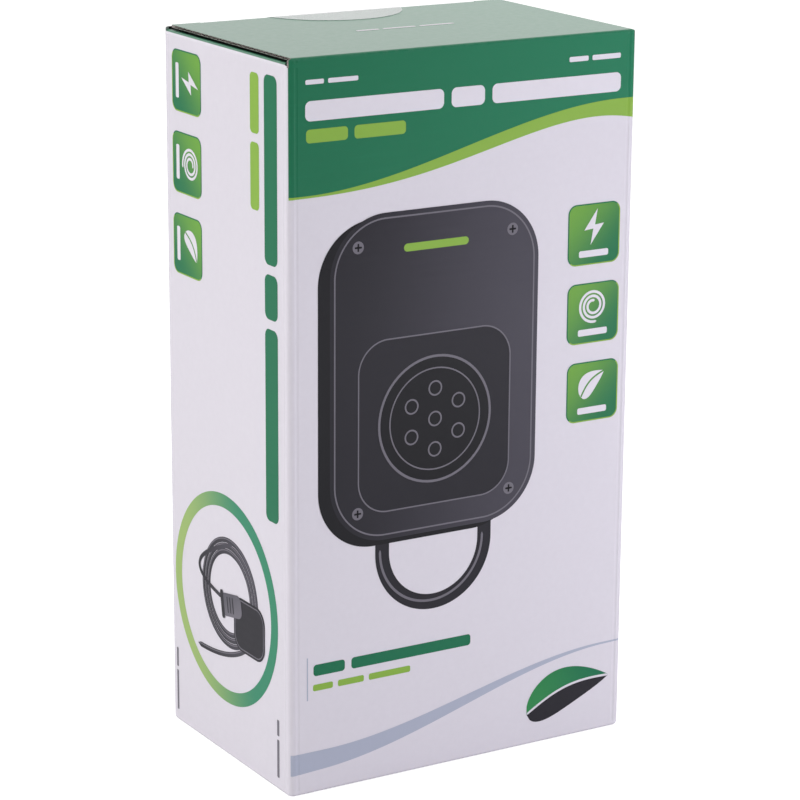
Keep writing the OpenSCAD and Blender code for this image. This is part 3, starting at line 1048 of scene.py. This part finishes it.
# Soft boxes to the left, the right and above, none where the camera stands
lamps = {
    "leftBox": {"azimuth": -98, "elevation": 3, "distance": 1.1, "size": (0.8, 0.4), "watts": 5.9,
                "colour": (1, 1, 1)},
    "rightBox": {"azimuth": 44, "elevation": 2, "distance": 0.8, "size": (0.5, 0.25), "watts": 2.95,
                 "colour": (0.92, 0.92, 1)},
    "topBox": {"azimuth": 150, "elevation": 82, "distance": 1.3, "size": (1.0, 1.0), "watts": 4.5,
               "colour": (1, 1, 1)},
}
studio = {
    "ambient": 0.42,
    "mirroredFront": 0.25,  # what glossy faces see on the camera's side, which is dim
    "mirroredBack": 1.0,
    "mirroredTurn": (-0.5, 0.3),  # from the one to the other, by the way to the rear
    "floorReach": 6.0,
    "floorDrop": 0.1 * mm,  # the carton's underside doesn't share the floor's plane
    "floorLift": 0.72,
    "floorSeen": 0.92,
    "floorMirrored": 0.45,
}


def placeLamps():
    for name, lamp in lamps.items():
        away = awayFrom(lamp["azimuth"], lamp["elevation"])
        light = bpy.data.lights.new(name, "AREA")
        light.shape = "RECTANGLE"
        light.size, light.size_y = lamp["size"]
        light.energy = lamp["watts"]
        light.color = lamp["colour"]
        holder = addObject(name, light)
        holder.location = middleOfCarton + away * lamp["distance"]
        holder.rotation_euler = (-away).to_track_quat("-Z", "Y").to_euler()
        holder.visible_glossy = False


def placeWorld():
    world = bpy.data.worlds.new("paleStudio")
    world.use_nodes = True
    tree = world.node_tree
    tree.nodes.clear()
    path = put(tree, "LightPath").outputs
    rearwards = parts(tree, put(tree, "TexCoord").outputs["Generated"])[1]
    dim, bright = studio["mirroredTurn"]
    mirrored = put(tree, "MapRange", {
        "Value": rearwards, "From Min": dim, "From Max": bright,
        "To Min": studio["mirroredFront"], "To Max": studio["mirroredBack"]}).outputs[0]
    seen = either(tree, path["Is Camera Ray"], path["Is Transmission Ray"])
    given = put(tree, "Mix", {0: path["Is Glossy Ray"], 2: studio["ambient"], 3: mirrored})
    strength = put(tree, "Mix", {0: seen, 2: given.outputs[0], 3: 1.0}).outputs[0]
    pale = put(tree, "Background", {"Color": (1, 1, 1, 1), "Strength": strength})
    tree.links.new(pale.outputs[0], put(tree, "OutputWorld").inputs["Surface"])
    bpy.context.scene.world = world


# The floor is brighter to the camera than to the carton, so that it stays white and keeps
# the carton's shadow
def placeFloor():
    reach = studio["floorReach"]
    mesh = bpy.data.meshes.new("floor")
    corners = [(-reach, -reach, 0), (reach, -reach, 0), (reach, reach, 0), (-reach, reach, 0)]
    mesh.from_pydata(corners, [], [(0, 1, 2, 3)])
    made, tree = startMaterial("paleFloor")
    path = put(tree, "LightPath").outputs
    greys = (studio["floorSeen"], studio["floorMirrored"])
    seen, mirrored = ((grey, grey, grey, 1) for grey in greys)
    matt = put(tree, "BsdfDiffuse", {"Color": mixed(tree, path["Is Glossy Ray"], seen, mirrored)})
    lift = put(tree, "Emission", {"Color": (1, 1, 1, 1), "Strength": studio["floorLift"]})
    shown = put(tree, "AddShader", {0: matt.outputs[0], 1: lift.outputs[0]})
    mix = put(tree, "MixShader", {0: path["Is Camera Ray"], 1: matt.outputs[0], 2: shown.outputs[0]})
    closeMaterial(tree, mix.outputs[0])
    mesh.materials.append(made)
    floor = addObject("floor", mesh)
    floor.location.z = -studio["floorDrop"]


placeCamera()
placeLamps()
placeWorld()
placeFloor()
bpy.context.scene.view_settings.view_transform = "Standard"
print("camera, lamps and floor placed")
